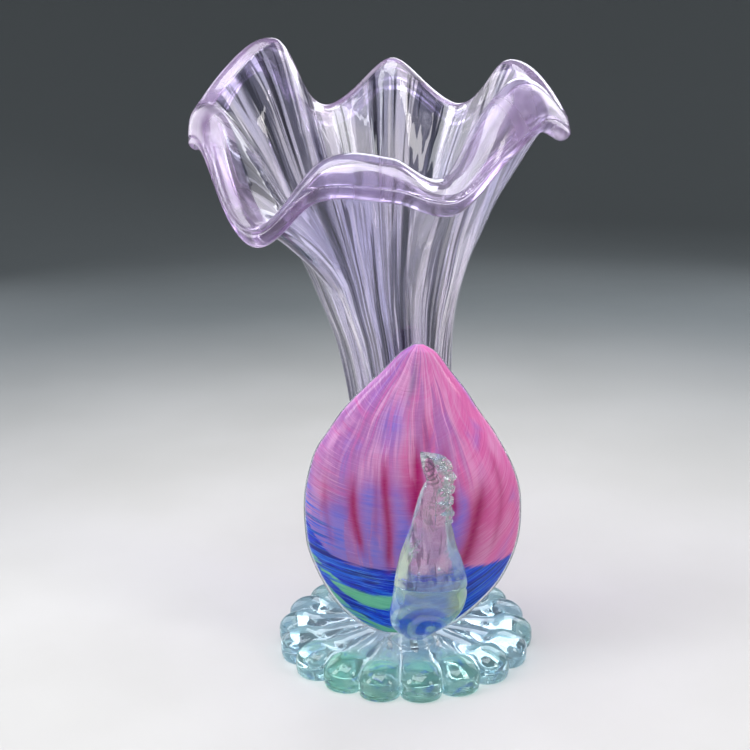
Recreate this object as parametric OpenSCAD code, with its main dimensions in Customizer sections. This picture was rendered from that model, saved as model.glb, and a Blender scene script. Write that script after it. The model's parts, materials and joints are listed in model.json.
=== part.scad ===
// Hand blown art glass vase: a ruffled trumpet on a lobed foot, with a coloured
// teardrop tail and a small clear bird standing in front of the stem.
// Units are millimetres. The origin is the middle of the foot's ground face, +Z is up,
// and the bird and the tail face -Y. Turns are degrees from the front, towards +X.

/* [Foot] */
// Number of lobes round the edge of the foot
foot_lobes = 18; // [12:1:24]
// Radius of the foot to the tip of a lobe
foot_r = 40; // [37:0.2:44]
// Radius of the foot to the bottom of a notch between two lobes
notch_r = 34.5; // [31:0.1:36]
// Height of the flat middle of the foot
foot_h = 8; // [7:0.5:8.5]
// Height of the rounded edge of the foot
foot_edge_h = 9; // [8.5:0.1:11]

/* [Trumpet] */
// Height above the ground at which the stem stands on the joining disc
stem_base_z = 12; // [11:0.5:14]
// Outer radius of the stem at its narrowest place
stem_r = 8.6; // [7:0.1:9]
// Thickness of the trumpet's wall
wall_t = 3.4; // [2.6:0.1:4]
// Number of optic ribs round the trumpet
trumpet_ribs = 10; // [6:1:12]
// How far an optic rib stands out from the wall
rib_h = 0.9; // [0.3:0.1:1.4]
// Height of the floor inside the trumpet
bore_floor_z = 30; // [24:1:40]
// Radius of the round lip bead at the edge of the rim
lip_bead_r = 2.5; // [2:0.1:3]

/* [Tail] */
// Number of flutes across the front of the tail
tail_flutes = 10; // [6:1:12]
// Depth of a flute between two ribs of the tail
flute_d = 0.8; // [0.2:0.1:1.2]
// Share of the tail's back half that the coloured core fills
core_share = 0.5; // [0.3:0.05:0.7]

/* [Bird] */
// Number of teeth along the bird's crest
crest_teeth = 6; // [4:1:8]

/* [Hidden] */

// Turn of the notch nearest the front
notch_turn = -2.5;
// Foot rings from the ground up: [radius at a notch, extra radius at a lobe, height, groove]
foot_rings = [
    [notch_r - 1, foot_r - notch_r, 0, 0],
    [notch_r - 0.2, foot_r - notch_r, 1.2, 0],
    [notch_r, foot_r - notch_r, 3.2, 0],
    [notch_r - 0.4, foot_r - notch_r, 5.8, 0.8],
    [notch_r - 2.2, foot_r - notch_r - 0.9, foot_edge_h - 1, 2.2],
    [notch_r - 4.8, 2.5, foot_edge_h, 2.8],
    [notch_r - 8.2, 1.2, foot_h, 2.2],
    [notch_r - 13.5, 0.4, foot_h, 1.5],
    [notch_r - 18, 0, foot_h, 0.8],
    [notch_r - 21.5, 0, foot_h, 0]
];
lobe_steps = 8;

disc_r = 10.5;
stem_y = 3.4;
// The joining bit, which carries the tail and the bird
bit_r = 9;
bit_t = 2.2;
bit_at = [2.5, -17];
// Where the trumpet's axis stands at each height: [height, x, y]
axis_rows = [[0, 0, stem_y], [12, 0, stem_y], [50, -0.4, 3], [78, -1.1, 2.6], [96, -2.5, 2.3],
    [112, -4.1, 2.1], [135, -4.8, 2], [190, -4.8, 2]];
// Outer radius of the stem at each height: [height, radius]
stem_rows = [[stem_base_z, stem_r + 1.2], [19, stem_r], [35, stem_r + 1.4], [55, 12.3],
    [78, 14.4], [88, 15.3], [96, 16.4], [104, 18.3], [110, 20.1]];
throat_z = 110;
throat_slope = 0.31;
// The rim's crest round the mouth: [turn, radius, height, lip out, lip down]
rim_rows = [
    [-41, 46, 134, 4.5, 0.5],
    [-21, 41.5, 150.5, 5, 5],
    [4, 37, 150.5, 6, 5.5],
    [22, 41, 145.5, 6, 3.5],
    [40, 41, 161.5, 6, 8],
    [62, 41, 169.5, 5, 9],
    [90, 46.5, 160, 3, 3],
    [121, 43, 173, 5, 5],
    [151, 45.5, 159.5, 5, 3],
    [177, 38.5, 173.5, 4, 5],
    [205, 45, 159.5, 5, 3],
    [234, 41, 180, 5, 5],
    [268, 49.5, 163.5, 3, 7],
    [293, 47.5, 160.5, 3, 6]
];
trumpet_sides = 80;
flare_steps = 10;
lip_steps = 4;
bead_sides = 8;

// The tail's core: [height, middle x, half width, front depth, back depth, middle y]
tail_rows = [
    [foot_h + bit_t, 0, 6.5, 0.9, 0.9, -14],
    [12.5, 0.6, 12, 1.5, 1.6, -14],
    [15.5, 0.8, 16, 2.2, 2.3, -14],
    [19, 1, 19.7, 3, 2.9, -14],
    [25, 1.7, 24.4, 4.2, 3.6, -14.1],
    [31, 2, 27.6, 5.6, 4, -14.2],
    [37.5, 2.1, 29.9, 7.2, 4.3, -14.4],
    [43.5, 2.3, 30.8, 8.4, 4.4, -14.6],
    [50, 2.3, 31, 9.2, 4.4, -14.9],
    [56, 2.3, 30.5, 9.5, 4.3, -15.4],
    [62, 2.1, 29, 9.2, 4.1, -16],
    [68.3, 1.7, 26.5, 8.4, 3.8, -16.4],
    [74.3, 1.9, 22.9, 7.4, 3.5, -16.8],
    [80.3, 1.9, 18.8, 6.2, 3.1, -17.4],
    [86.2, 2.8, 14.3, 4.8, 2.6, -18],
    [92, 3.6, 9.2, 3.4, 2, -18.7],
    [97.5, 4.2, 4.6, 2, 1.3, -19.3],
    [99.6, 4.2, 1.3, 0.8, 0.6, -19.6]
];
// How far the clear casing stands out past the core's edge: [height, distance]
casing_rows = [[10.2, 2.6], [15, 1.9], [19, 1.4], [30, 0.8], [50, 0.5], [100, 0.3]];
// Front depth at and above which the flutes have their whole depth
full_depth = 6;
tail_front_steps = 40;
tail_back_steps = 12;

// The bird: [height, middle x, half width, half depth, middle y]
bird_body_rows = [
    [foot_h + bit_t, 3.2, 2.6, 1.2, -18.6],
    [12.5, 3.1, 4.2, 2.6, -20.4],
    [15, 3.5, 6.5, 4.4, -21.9],
    [17.5, 4.3, 8.5, 5.6, -23],
    [21.5, 5.8, 10.3, 6.4, -24.1],
    [26, 6.9, 10.7, 6.5, -25.1],
    [31, 7.4, 10.5, 6.1, -26]
];
bird_neck_rows = [
    [31, 7.4, 10.5, 6.1, -26],
    [34, 7.4, 10.1, 5.7, -26.6],
    [39.5, 7.2, 8.9, 5.1, -27.5],
    [42.3, 7, 8, 4.8, -27.9],
    [48.4, 7.3, 6.3, 4.3, -28.5],
    [54.5, 7.5, 4.7, 3.7, -28.9],
    [58.6, 7.9, 3.9, 3.3, -29],
    [61.5, 8.5, 3.4, 3, -29.1],
    [63.3, 9.1, 3, 2.9, -29.2],
    [66.2, 8.4, 3.2, 2.9, -29.4],
    [69, 7.5, 2.9, 2.4, -29.7],
    [70.8, 6.5, 2.1, 1.6, -30],
    [72, 4.8, 0.4, 0.4, -30.4]
];
bird_sides = 32;
body_steps = 12;
// How far the crest stands out from the neck: [height, thickness]
crest_rows = [[50.6, 0.3], [52, 1], [55.5, 1.4], [59.3, 1.7], [63, 1.9], [67.4, 2.1], [69.8, 2.5],
    [71, 2.2], [71.6, 0.8]];
// The first and last corner of the neck that the crest covers, counted from the front
crest_span = [1, 11];
crest_steps = 24;

// ---- Helpers ----

// Numbered step of the rows that holds position s
function row_of(rows, s, i = 0) =
    i >= len(rows) - 2 || s < rows[i + 1][0] ? i : row_of(rows, s, i + 1);

// Slope of the smooth curve where it passes through row i
function row_slope(rows, i) =
    let (lo = max(0, i - 1), hi = min(len(rows) - 1, i + 1))
    (rows[hi] - rows[lo]) / (rows[hi][0] - rows[lo][0]);

// The rows' values at position s, on a smooth curve that passes through every row
function row_at(rows, s) =
    let (i = row_of(rows, s), span = rows[i + 1][0] - rows[i][0], u = (s - rows[i][0]) / span)
    rows[i] * (2 * u ^ 3 - 3 * u ^ 2 + 1)
        + row_slope(rows, i) * span * (u ^ 3 - 2 * u ^ 2 + u)
        + rows[i + 1] * (3 * u ^ 2 - 2 * u ^ 3)
        + row_slope(rows, i + 1) * span * (u ^ 3 - u ^ 2);

// Point at share u along a cubic curve with four control points
function bezier(p, u) =
    p[0] * (1 - u) ^ 3 + p[1] * 3 * u * (1 - u) ^ 2 + p[2] * 3 * u ^ 2 * (1 - u) + p[3] * u ^ 3;

// Closed skin over rings of points, with a flat cap on the first ring and the last
module skin(rings) {
    n = len(rings[0]);
    m = len(rings);
    polyhedron(
        points = [for (ring = rings) each ring],
        faces = concat(
            [[for (i = [0:n - 1]) i]],
            [for (j = [0:m - 2], i = [0:n - 1])
                let (k = (i + 1) % n) [j * n + i, (j + 1) * n + i, (j + 1) * n + k]],
            [for (j = [0:m - 2], i = [0:n - 1])
                let (k = (i + 1) % n) [j * n + i, (j + 1) * n + k, j * n + k]],
            [[for (i = [n - 1:-1:0]) (m - 1) * n + i]]
        ),
        convexity = 10
    );
}

// Closed skin over rings that join up again, the last ring to the first
module loop_skin(rings) {
    n = len(rings[0]);
    m = len(rings);
    polyhedron(
        points = [for (ring = rings) each ring],
        faces = concat(
            [for (j = [0:m - 1], i = [0:n - 1])
                let (k = (i + 1) % n, l = (j + 1) % m) [j * n + i, l * n + i, l * n + k]],
            [for (j = [0:m - 1], i = [0:n - 1])
                let (k = (i + 1) % n, l = (j + 1) % m) [j * n + i, l * n + k, j * n + k]]
        ),
        convexity = 10
    );
}

// ---- Foot ----

// One foot ring. Steps bunch up towards the notches, where the outline turns sharply.
function foot_ring(row) = [
    for (lobe = [0:foot_lobes - 1], k = [0:lobe_steps - 1])
        let (
            swell = sin(180 * k / lobe_steps),
            a = notch_turn + (lobe + (1 - cos(180 * k / lobe_steps)) / 2) * 360 / foot_lobes,
            r = row[0] + row[1] * swell,
            z = row[2] - row[3] * (1 - swell)
        )
        [r * sin(a), -r * cos(a), z]
];

module foot() {
    color("paleturquoise", 0.5)
        skin([for (row = foot_rings) foot_ring(row)]);
}

// Short round of glass with a half round rim
module round_pad(at, r, h) {
    translate([at[0], at[1], foot_h])
        rotate_extrude($fn = 96)
            union() {
                square([r - h / 2, h]);
                translate([r - h / 2, h / 2])
                    intersection() {
                        circle(h / 2, $fn = 48);
                        translate([0, -h / 2])
                            square(h);
                    }
            }
}

// Short disc of clear glass that joins the stem to the foot
module joining_disc() {
    color("lightcyan", 0.5)
        round_pad([0, stem_y], disc_r, stem_base_z - foot_h);
}

// Bit of clear glass that joins the tail and the bird to the foot
module joining_bit() {
    color("lightcyan", 0.5)
        round_pad(bit_at, bit_r, bit_t);
}

// ---- Trumpet ----

// The rim's rows carried once round in both directions, so that the curve closes
rim_cycle = concat(
    [for (row = rim_rows) row - [360, 0, 0, 0, 0]],
    rim_rows,
    [for (row = rim_rows) row + [360, 0, 0, 0, 0]]
);

// Middle of the wall at turn a, from the stem's base to the rim's crest: [radius, height]
function wall_line(a) =
    let (
        rim = row_at(rim_cycle, a),
        throat_r = stem_rows[len(stem_rows) - 1][1] - wall_t / 2,
        crest = [rim[1], rim[2]],
        rise = (rim[2] - throat_z) / 2
    )
    concat(
        [for (row = stem_rows) if (row[0] < throat_z) [row[1] - wall_t / 2, row[0]]],
        [for (i = [0:flare_steps])
            bezier([[throat_r, throat_z], [throat_r + rise * throat_slope, throat_z + rise],
                crest - [3, 0], crest], i / flare_steps)]
    );

// Middle of the lip at turn a, from the crest over and down to the edge
function lip_line(a) =
    let (rim = row_at(rim_cycle, a), crest = [rim[1], rim[2]])
    [for (i = [1:lip_steps])
        bezier([crest, crest + [3, 0], crest + [rim[3], -rim[4] / 2],
            crest + [rim[3], -rim[4]]], i / lip_steps)];

// The whole profile at turn a, and the direction square to it at step i
function profile(a) = concat(wall_line(a), lip_line(a));
function outward(line, i) =
    let (
        d = line[min(i + 1, len(line) - 1)] - line[max(i - 1, 0)],
        l = norm(d)
    )
    [d[1], -d[0]] / l;

crest_i = len(stem_rows) - 1 + flare_steps;
edge_i = crest_i + lip_steps;

// A profile point set round the leaning axis
function on_axis(a, p) =
    let (c = row_at(axis_rows, p[1]))
    [c[1] + p[0] * sin(a), c[2] - p[0] * cos(a), p[1]];

// How much of its full height an optic rib has at step i, and its wave round the wall
function rib_share(i) = min(1, max(0, (crest_i - 1 - i) / 6)) * min(1, i / 3);
function rib_wave(a) = (1 + cos(trumpet_ribs * a)) / 2;

// Ring of the outer face, or of the inner one, at step i of the profile
function wall_ring(i, side, half) = [
    for (k = [0:trumpet_sides - 1])
        let (
            a = k * 360 / trumpet_sides,
            line = profile(a),
            rib = side > 0 ? rib_h * rib_share(i) * rib_wave(a) : 0
        )
        on_axis(a, line[i] + outward(line, i) * (side * half + rib))
];

// Ring of the bore below the throat, at a height and radius of its own
function bore_ring(z, r) = [
    for (k = [0:trumpet_sides - 1])
        on_axis(k * 360 / trumpet_sides, [r, z])
];

// Outer radius of the stem at any height below the throat
function stem_at(z) = row_at(stem_rows, z)[1];

module trumpet() {
    base = [for (k = [0:trumpet_sides - 1])
        on_axis(k * 360 / trumpet_sides, [stem_rows[0][1], stem_base_z])];
    outer = [for (i = [1:edge_i]) wall_ring(i, 1, wall_t / 2)];
    inner = [for (i = [edge_i:-1:4]) wall_ring(i, -1, wall_t / 2)];
    bore = [
        bore_ring(55, stem_at(55) - wall_t - 0.6),
        bore_ring(38, stem_at(38) - wall_t - 1),
        bore_ring(bore_floor_z + 1.5, 4.6),
        bore_ring(bore_floor_z, 2.6)
    ];
    color("thistle", 0.5)
        skin(concat([base], outer, inner, bore));
}

// Round bead of tinted glass trailed along the trumpet's edge. Its first and last rings
// are the two corners of the edge, so the bead and the wall meet face to face.
module lip_wrap() {
    start = asin(wall_t / 2 / lip_bead_r);
    color("plum", 0.6)
        loop_skin([
            for (j = [0:bead_sides])
                let (b = start + (360 - 2 * start) * j / bead_sides)
                [for (k = [0:trumpet_sides - 1])
                    let (
                        a = k * 360 / trumpet_sides,
                        line = profile(a),
                        out = outward(line, edge_i),
                        along = [-out[1], out[0]]
                    )
                    on_axis(a, line[edge_i] + out * lip_bead_r * sin(b)
                        + along * lip_bead_r * (cos(start) - cos(b)))]
        ]);
}

// ---- Tail ----

// Depth of the flutes at turn a across the front: ribs swell between narrow creases
function flute(a, row) =
    flute_d * min(1, row[3] / full_depth) * (1 - abs(sin(tail_flutes * a))) * cos(a);

// Points across the front of the tail from its left edge to its right, then across the back
function tail_front(row) = [
    for (k = [0:tail_front_steps])
        let (a = -90 + 180 * k / tail_front_steps)
        [row[1] + row[2] * sin(a), row[5] - row[3] * cos(a) + flute(a, row), row[0]]
];
function tail_back(row, share, grow) = [
    for (k = [0:tail_back_steps])
        let (a = 90 - 180 * k / tail_back_steps)
        [row[1] + (row[2] + grow) * sin(a), row[5] + grow / 4 + row[4] * share * cos(a), row[0]]
];
function inside(list) = [for (k = [1:len(list) - 2]) list[k]];

module tail_core() {
    color("orchid")
        skin([for (row = tail_rows)
            concat(tail_front(row), inside(tail_back(row, core_share, 0)))]);
}

// The clear casing wraps the core's back and shows past its edge
module tail_casing() {
    color("azure", 0.5)
        skin([for (row = tail_rows)
            concat(
                [for (k = [tail_back_steps:-1:0]) tail_back(row, core_share, 0)[k]],
                tail_back(row, 1, row_at(casing_rows, row[0])[1])
            )]);
}

// ---- Bird ----

function bird_ring(row) = [
    for (k = [0:bird_sides - 1])
        let (a = 360 * k / bird_sides)
        [row[1] + row[2] * sin(a), row[4] - row[3] * cos(a), row[0]]
];

// Evenly spaced heights from a list's first row to its last
function heights(rows, steps) =
    let (lo = rows[0][0], hi = rows[len(rows) - 1][0])
    [for (j = [0:steps]) lo + (hi - lo) * j / steps];

// Bulb that stands on the joining bit
module bird_body() {
    color("lightskyblue", 0.5)
        skin([for (z = heights(bird_body_rows, body_steps)) bird_ring(row_at(bird_body_rows, z))]);
}

// The neck has a ring at each of the crest's heights, so that the two meet face to face
crest_heights = heights(crest_rows, crest_steps);
neck_heights = concat(
    [for (row = bird_neck_rows) if (row[0] < crest_heights[0]) row[0]],
    crest_heights,
    [bird_neck_rows[len(bird_neck_rows) - 1][0]]
);

// Neck and head, drawn up from one bit of glass and ending in the beak
module bird_neck() {
    color("lavender", 0.5)
        skin([for (z = neck_heights) bird_ring(row_at(bird_neck_rows, z))]);
}

// Crest ring at step j: the neck's own outline, and the notched ridge that stands on it
function crest_ring(j) =
    let (
        z = crest_heights[j],
        on_neck = bird_ring(row_at(bird_neck_rows, z)),
        tooth = 1 + 0.3 * cos(360 * crest_teeth * j / crest_steps),
        first = crest_span[0],
        last = crest_span[1]
    )
    concat(
        [for (k = [last:-1:first]) on_neck[k]],
        [for (k = [first + 1:last - 1])
            let (
                share = sqrt(sin(180 * (k - first) / (last - first))),
                a = 360 * k / bird_sides,
                t = row_at(crest_rows, z)[1] * tooth * share
            )
            on_neck[k] + t * [sin(a), -cos(a), 0]]
    );

// Notched crest laid on the right of the neck and the back of the head
module bird_crest() {
    color("honeydew", 0.6)
        skin([for (j = [0:crest_steps]) crest_ring(j)]);
}

foot();
joining_disc();
trumpet();
lip_wrap();
joining_bit();
tail_core();
tail_casing();
bird_body();
bird_neck();
bird_crest();
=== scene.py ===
import json
import math

import bpy
import numpy as np
from mathutils import Matrix, Vector

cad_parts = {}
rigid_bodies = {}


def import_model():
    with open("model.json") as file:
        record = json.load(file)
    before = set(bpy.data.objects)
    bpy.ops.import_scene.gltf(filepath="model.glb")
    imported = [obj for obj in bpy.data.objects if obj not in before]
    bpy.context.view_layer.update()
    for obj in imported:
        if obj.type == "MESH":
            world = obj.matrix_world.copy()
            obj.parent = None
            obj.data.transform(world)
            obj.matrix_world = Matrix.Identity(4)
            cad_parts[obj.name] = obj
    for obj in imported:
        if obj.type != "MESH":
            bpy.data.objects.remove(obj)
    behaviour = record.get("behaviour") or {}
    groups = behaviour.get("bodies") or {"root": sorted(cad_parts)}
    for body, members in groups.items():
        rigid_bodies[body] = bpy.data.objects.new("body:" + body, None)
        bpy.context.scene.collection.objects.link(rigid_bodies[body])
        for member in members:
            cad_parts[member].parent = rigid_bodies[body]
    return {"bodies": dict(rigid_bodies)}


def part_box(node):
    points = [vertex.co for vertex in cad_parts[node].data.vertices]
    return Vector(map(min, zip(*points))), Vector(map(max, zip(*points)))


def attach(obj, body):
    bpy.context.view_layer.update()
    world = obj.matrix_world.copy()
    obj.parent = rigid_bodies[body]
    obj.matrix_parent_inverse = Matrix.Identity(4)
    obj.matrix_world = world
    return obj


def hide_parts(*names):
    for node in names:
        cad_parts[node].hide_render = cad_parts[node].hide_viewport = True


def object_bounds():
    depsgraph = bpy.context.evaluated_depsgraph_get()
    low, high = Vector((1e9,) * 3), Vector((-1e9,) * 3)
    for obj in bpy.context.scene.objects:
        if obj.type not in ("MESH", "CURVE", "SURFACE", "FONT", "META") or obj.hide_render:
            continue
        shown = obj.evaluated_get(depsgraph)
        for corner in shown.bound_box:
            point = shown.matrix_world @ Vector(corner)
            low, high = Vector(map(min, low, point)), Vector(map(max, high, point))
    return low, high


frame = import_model()
CAD_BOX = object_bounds()
ROOT = sorted(frame["bodies"])[0]
MM = 0.001  # one millimetre, in Blender's metres


# ---------------------------------------------------------------- curves and meshes

def smooth(rows, s):
    """The rows' values at positions s, on a smooth curve through every row."""
    rows = np.array(rows, float)
    s = np.atleast_1d(np.asarray(s, float))
    x = rows[:, 0]
    slope = np.zeros_like(rows)
    for i in range(len(rows)):
        lo, hi = max(0, i - 1), min(len(rows) - 1, i + 1)
        slope[i] = (rows[hi] - rows[lo]) / (x[hi] - x[lo])
    i = np.clip(np.searchsorted(x, s, side="right") - 1, 0, len(rows) - 2)
    span = (x[i + 1] - x[i])
    u = np.clip((s - x[i]) / span, 0, 1)[:, None]
    span = span[:, None]
    out = (rows[i] * (2 * u**3 - 3 * u**2 + 1) + slope[i] * span * (u**3 - 2 * u**2 + u)
           + rows[i + 1] * (3 * u**2 - 2 * u**3) + slope[i + 1] * span * (u**3 - u**2))
    out[:, 0] = s
    return out


def bezier(p0, p1, p2, p3, u):
    """Points on a cubic curve from p0 to p3 at shares u, pulled towards p1 and p2."""
    u = u[:, None]
    return p0 * (1 - u)**3 + p1 * 3 * u * (1 - u)**2 + p2 * 3 * u**2 * (1 - u) + p3 * u**3


def bump(x, middle, width):
    """A smooth hill: 1 at the middle, and near 0 two widths away."""
    return np.exp(-((x - middle) / width)**2)


def make(name, points, faces, uv=None):
    """A mesh object from points in millimetres, shaded smooth, with a UV for each point.

    Every mesh but the floor is a piece of the vase: its points outside the CAD model's box
    are moved onto the box.
    """
    mesh = bpy.data.meshes.new(name)
    points = np.asarray(points) * MM
    if name != "floor":
        points = np.clip(points, np.array(CAD_BOX[0]), np.array(CAD_BOX[1]))
    mesh.from_pydata(points.tolist(), [], faces)
    mesh.validate()
    if uv is not None:
        layer = mesh.uv_layers.new(name="flow")
        loops = np.zeros(len(mesh.loops), np.int32)
        mesh.loops.foreach_get("vertex_index", loops)
        layer.data.foreach_set("uv", np.asarray(uv, np.float32)[loops].ravel())
    mesh.polygons.foreach_set("use_smooth", [True] * len(mesh.polygons))
    mesh.update()
    obj = bpy.data.objects.new(name, mesh)
    bpy.context.scene.collection.objects.link(obj)
    return obj


def paint(obj, name, values):
    """A number for each point of the mesh, which its material reads by name."""
    layer = obj.data.attributes.new(name, "FLOAT", "POINT")
    layer.data.foreach_set("value", np.asarray(values, np.float32))


def grid(rings, closed=False, caps=True):
    """Faces over rings of equal length. Rings close round; closed joins the last to the first."""
    m, n = len(rings), len(rings[0])
    faces = []
    for j in range(m if closed else m - 1):
        a, b = j * n, ((j + 1) % m) * n
        for i in range(n):
            k = (i + 1) % n
            faces.append((a + i, a + k, b + k, b + i))
    if caps and not closed:
        faces.append(tuple(range(n - 1, -1, -1)))
        faces.append(tuple((m - 1) * n + i for i in range(n)))
    return faces


def wobble(points, size, reach):
    """Small slow waves over the points, as a hand-shaped surface has. Size and reach in mm."""
    p = np.asarray(points, float) / reach
    x, y, z = p[:, 0], p[:, 1], p[:, 2]
    return size * (np.sin(2.1 * x + 1.3 * y + 0.7) * np.sin(1.7 * z + 0.9 * x + 2.0)
                   + 0.6 * np.sin(3.7 * y - 2.3 * z + 1.1) * np.sin(2.9 * x + 0.4))


# ---------------------------------------------------------------- shapes, in mm as in the CAD

TURNS = np.arange(288) * 360 / 288
# Where the trumpet's axis stands: [height, x, y]
AXIS = [[0, 0, 3.4], [12, 0, 3.4], [50, -0.4, 3], [78, -1.1, 2.6], [96, -2.5, 2.3],
        [112, -4.1, 2.1], [135, -4.8, 2], [190, -4.8, 2]]
# Outside of the stem: [height, radius]
STEM = [[12, 9.8], [19, 8.6], [35, 10], [55, 12.3], [78, 14.4], [88, 15.3], [96, 16.4],
        [104, 18.3], [110, 20.1]]
# The ruffled rim: [turn, radius, height, lip out, lip down]
RIM = np.array([
    [-41, 46, 134, 4.5, 0.5], [-21, 41.5, 150.5, 5, 5], [4, 37, 150.5, 6, 5.5],
    [22, 41, 145.5, 6, 3.5], [40, 41, 161.5, 6, 8], [62, 41, 169.5, 5, 9],
    [90, 46.5, 160, 3, 3], [121, 43, 173, 5, 5], [151, 45.5, 159.5, 5, 3],
    [177, 38.5, 173.5, 4, 5], [205, 45, 159.5, 5, 3], [234, 41, 180, 5, 5],
    [268, 49.5, 163.5, 3, 7], [293, 47.5, 160.5, 3, 6]], float)
FULL_TURN = np.array([360, 0, 0, 0, 0], float)
RIM_CYCLE = np.vstack([RIM - FULL_TURN, RIM, RIM + FULL_TURN])
# The narrow bottom of the bore, below the even wall: [height, radius]
BORE = [[30, 0.6], [30.5, 3], [32, 4.4], [35, 5.4], [40, 6.1], [48, 7.4], [56, 8.8]]
BORE_Z = (55, 50, 45, 40, 36, 33, 31.4, 30.5, 30.1)
BORE_TOP = 58
WALL = 3.4
THROAT = 110
BEAD = 2.5
RIBS, RIB_LEAN, RIB_START = 10, 6, 0.6
OUTER_RIB, INNER_RIB = 0.9, 1.25
STEM_Z = np.linspace(12, 108, 49)
FLARE = np.linspace(0, 1, 37)
LIP = np.linspace(0, 1, 13)[1:]
CREST_STEP = len(STEM_Z) + len(FLARE) - 1


def on_axis(turn, r, z):
    """Points at one turn round the trumpet's bent axis."""
    c = smooth(AXIS, z)
    a = np.radians(turn)
    return np.stack([c[:, 1] + r * np.sin(a), c[:, 2] - r * np.cos(a), z], 1)


def wall_line(turn):
    """Middle of the trumpet's wall at one turn, as [radius, height] from the base to the edge."""
    rim = smooth(RIM_CYCLE, turn)[0]
    crest = np.array([rim[1], rim[2]])
    out, down = rim[3], rim[4]
    stem = np.stack([smooth(STEM, STEM_Z)[:, 1] - WALL / 2, STEM_Z], 1)
    throat = np.array([STEM[-1][1] - WALL / 2, THROAT])
    rise = (crest[1] - THROAT) / 2
    flare = bezier(throat, throat + (rise * 0.31, rise), crest - (3, 0), crest, FLARE)
    lip = bezier(crest, crest + (3, 0), crest + (out, -down / 2), crest + (out, -down), LIP)
    return np.vstack([stem, flare, lip])


def across(line):
    """Directions square to a line of [radius, height] points, pointing outward."""
    d = np.gradient(line, axis=0)
    d /= np.linalg.norm(d, axis=1)[:, None]
    return np.stack([d[:, 1], -d[:, 0]], 1)


LINES = np.array([wall_line(t) for t in TURNS])
SQUARE = np.array([across(line) for line in LINES])
STEPS = LINES.shape[1]
STEP = np.arange(STEPS)
# How much of its depth a rib has at each step, and the ribs' wave round the wall
RIB_SHARE = np.clip(STEP / 8, 0, 1) * np.clip((CREST_STEP - 3 - STEP) / 16, 0, 1)
LEAN = np.radians(RIB_LEAN) * STEP / STEPS
WAVE = (1 + np.cos(RIBS * np.radians(TURNS)[:, None] + RIBS * LEAN[None, :] + RIB_START)) / 2
# Half the wall, which thickens towards the turned-out edge
LIP_SHARE = np.clip((STEP - CREST_STEP) / (STEPS - 1 - CREST_STEP), 0, 1)
HALF_WALL = WALL / 2 + 0.55 * LIP_SHARE**1.5


def trumpet_mesh():
    """Up the outside, over the edge and down the bore. Faces past the crest use slot 1."""
    outer = LINES + SQUARE * (HALF_WALL + OUTER_RIB * RIB_SHARE * WAVE**1.4)[:, :, None]
    inner = LINES - SQUARE * (HALF_WALL - INNER_RIB * RIB_SHARE * (1 - WAVE)**2.2)[:, :, None]
    stop = int(np.argmin(np.abs(STEM_Z - BORE_TOP)))
    rings, up = [], []
    for wall, steps in ((outer, range(STEPS)), (inner, range(STEPS - 1, stop - 1, -1))):
        for j in steps:
            rings.append(np.vstack([on_axis(t, wall[i, j, :1], wall[i, j, 1:])
                                    for i, t in enumerate(TURNS)]))
            up.append(j / STEPS if wall is outer else 2 - j / STEPS)
    for z in BORE_Z:
        r = smooth(BORE, z)[0, 1]
        rings.append(np.vstack([on_axis(t, np.array([r]), np.array([float(z)])) for t in TURNS]))
        up.append(2 - z / 200)
    uv = [np.stack([TURNS / 360, np.full(len(TURNS), share)], 1) for share in up]
    points = np.vstack(rings)
    slow = wobble(points, 0.22, 11) * np.clip((points[:, 2] - 20) / 60, 0, 1)
    away = points[:, :2] - smooth(AXIS, points[:, 2])[:, 1:]
    away /= np.maximum(np.linalg.norm(away, axis=1), 1e-6)[:, None]
    points[:, :2] += away * slow[:, None]
    faces = grid(rings)
    rows = [min(f) // len(TURNS) for f in faces]
    tinted = [1 if CREST_STEP - 2 <= row <= 2 * STEPS - CREST_STEP + 1 else 0 for row in rows]
    tinted[-2:] = [0, 0]
    return make("trumpet_glass", points, faces, np.vstack(uv)), tinted


def lip_mesh():
    """The glass trail round the edge: a soft bead that blends into the turned-out lip."""
    sides = 20
    edge = HALF_WALL[-1]
    rings, uv = [], []
    start = math.asin(min(edge / BEAD, 1) * 0.86)
    for j in range(sides + 1):
        b = start + (2 * math.pi - 2 * start) * j / sides
        ring = []
        for i, t in enumerate(TURNS):
            out = SQUARE[i, -1]
            along = np.array([-out[1], out[0]])
            p = (LINES[i, -1] + out * BEAD * math.sin(b)
                 + along * BEAD * (math.cos(start) - math.cos(b)) * 0.9)
            ring.append(on_axis(t, p[:1], p[1:])[0])
        rings.append(np.array(ring))
        uv.append(np.stack([TURNS / 360, np.full(len(TURNS), j / sides)], 1))
    return make("lip_wrap_glass", np.vstack(rings), grid(rings, closed=True), np.vstack(uv))


# ---- foot
LOBES, NOTCH_TURN, NOTCH_R, FOOT_H, EDGE_H = 18, -2.5, 34.5, 8, 9
# From the middle of the ground face, out and over the edge, to the middle of the top:
# [step, radius at a notch, extra radius at a lobe, height, groove depth]
FOOT_RINGS = [
    [0, 14, 0, 1.3, 0], [1, NOTCH_R - 14, 1, 0.8, 0], [2, NOTCH_R - 4, 4, 0.05, 0],
    [3, NOTCH_R - 1, 5.4, 0, 0], [4, NOTCH_R - 0.2, 5.5, 1.2, 0], [5, NOTCH_R, 5.5, 3.2, 0],
    [6, NOTCH_R - 0.4, 5.5, 5.8, 0.8], [7, NOTCH_R - 2.2, 4.6, 8, 2.2],
    [8, NOTCH_R - 4.8, 2.5, EDGE_H, 2.8], [9, NOTCH_R - 8.2, 1.2, FOOT_H, 2.2],
    [10, NOTCH_R - 13.5, 0.4, FOOT_H, 1.5], [11, NOTCH_R - 18, 0, FOOT_H, 0.8],
    [12, NOTCH_R - 21.5, 0, FOOT_H, 0.02], [13, 6, 0, FOOT_H, 0]]
LAST_RING = FOOT_RINGS[-1][0]
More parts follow.
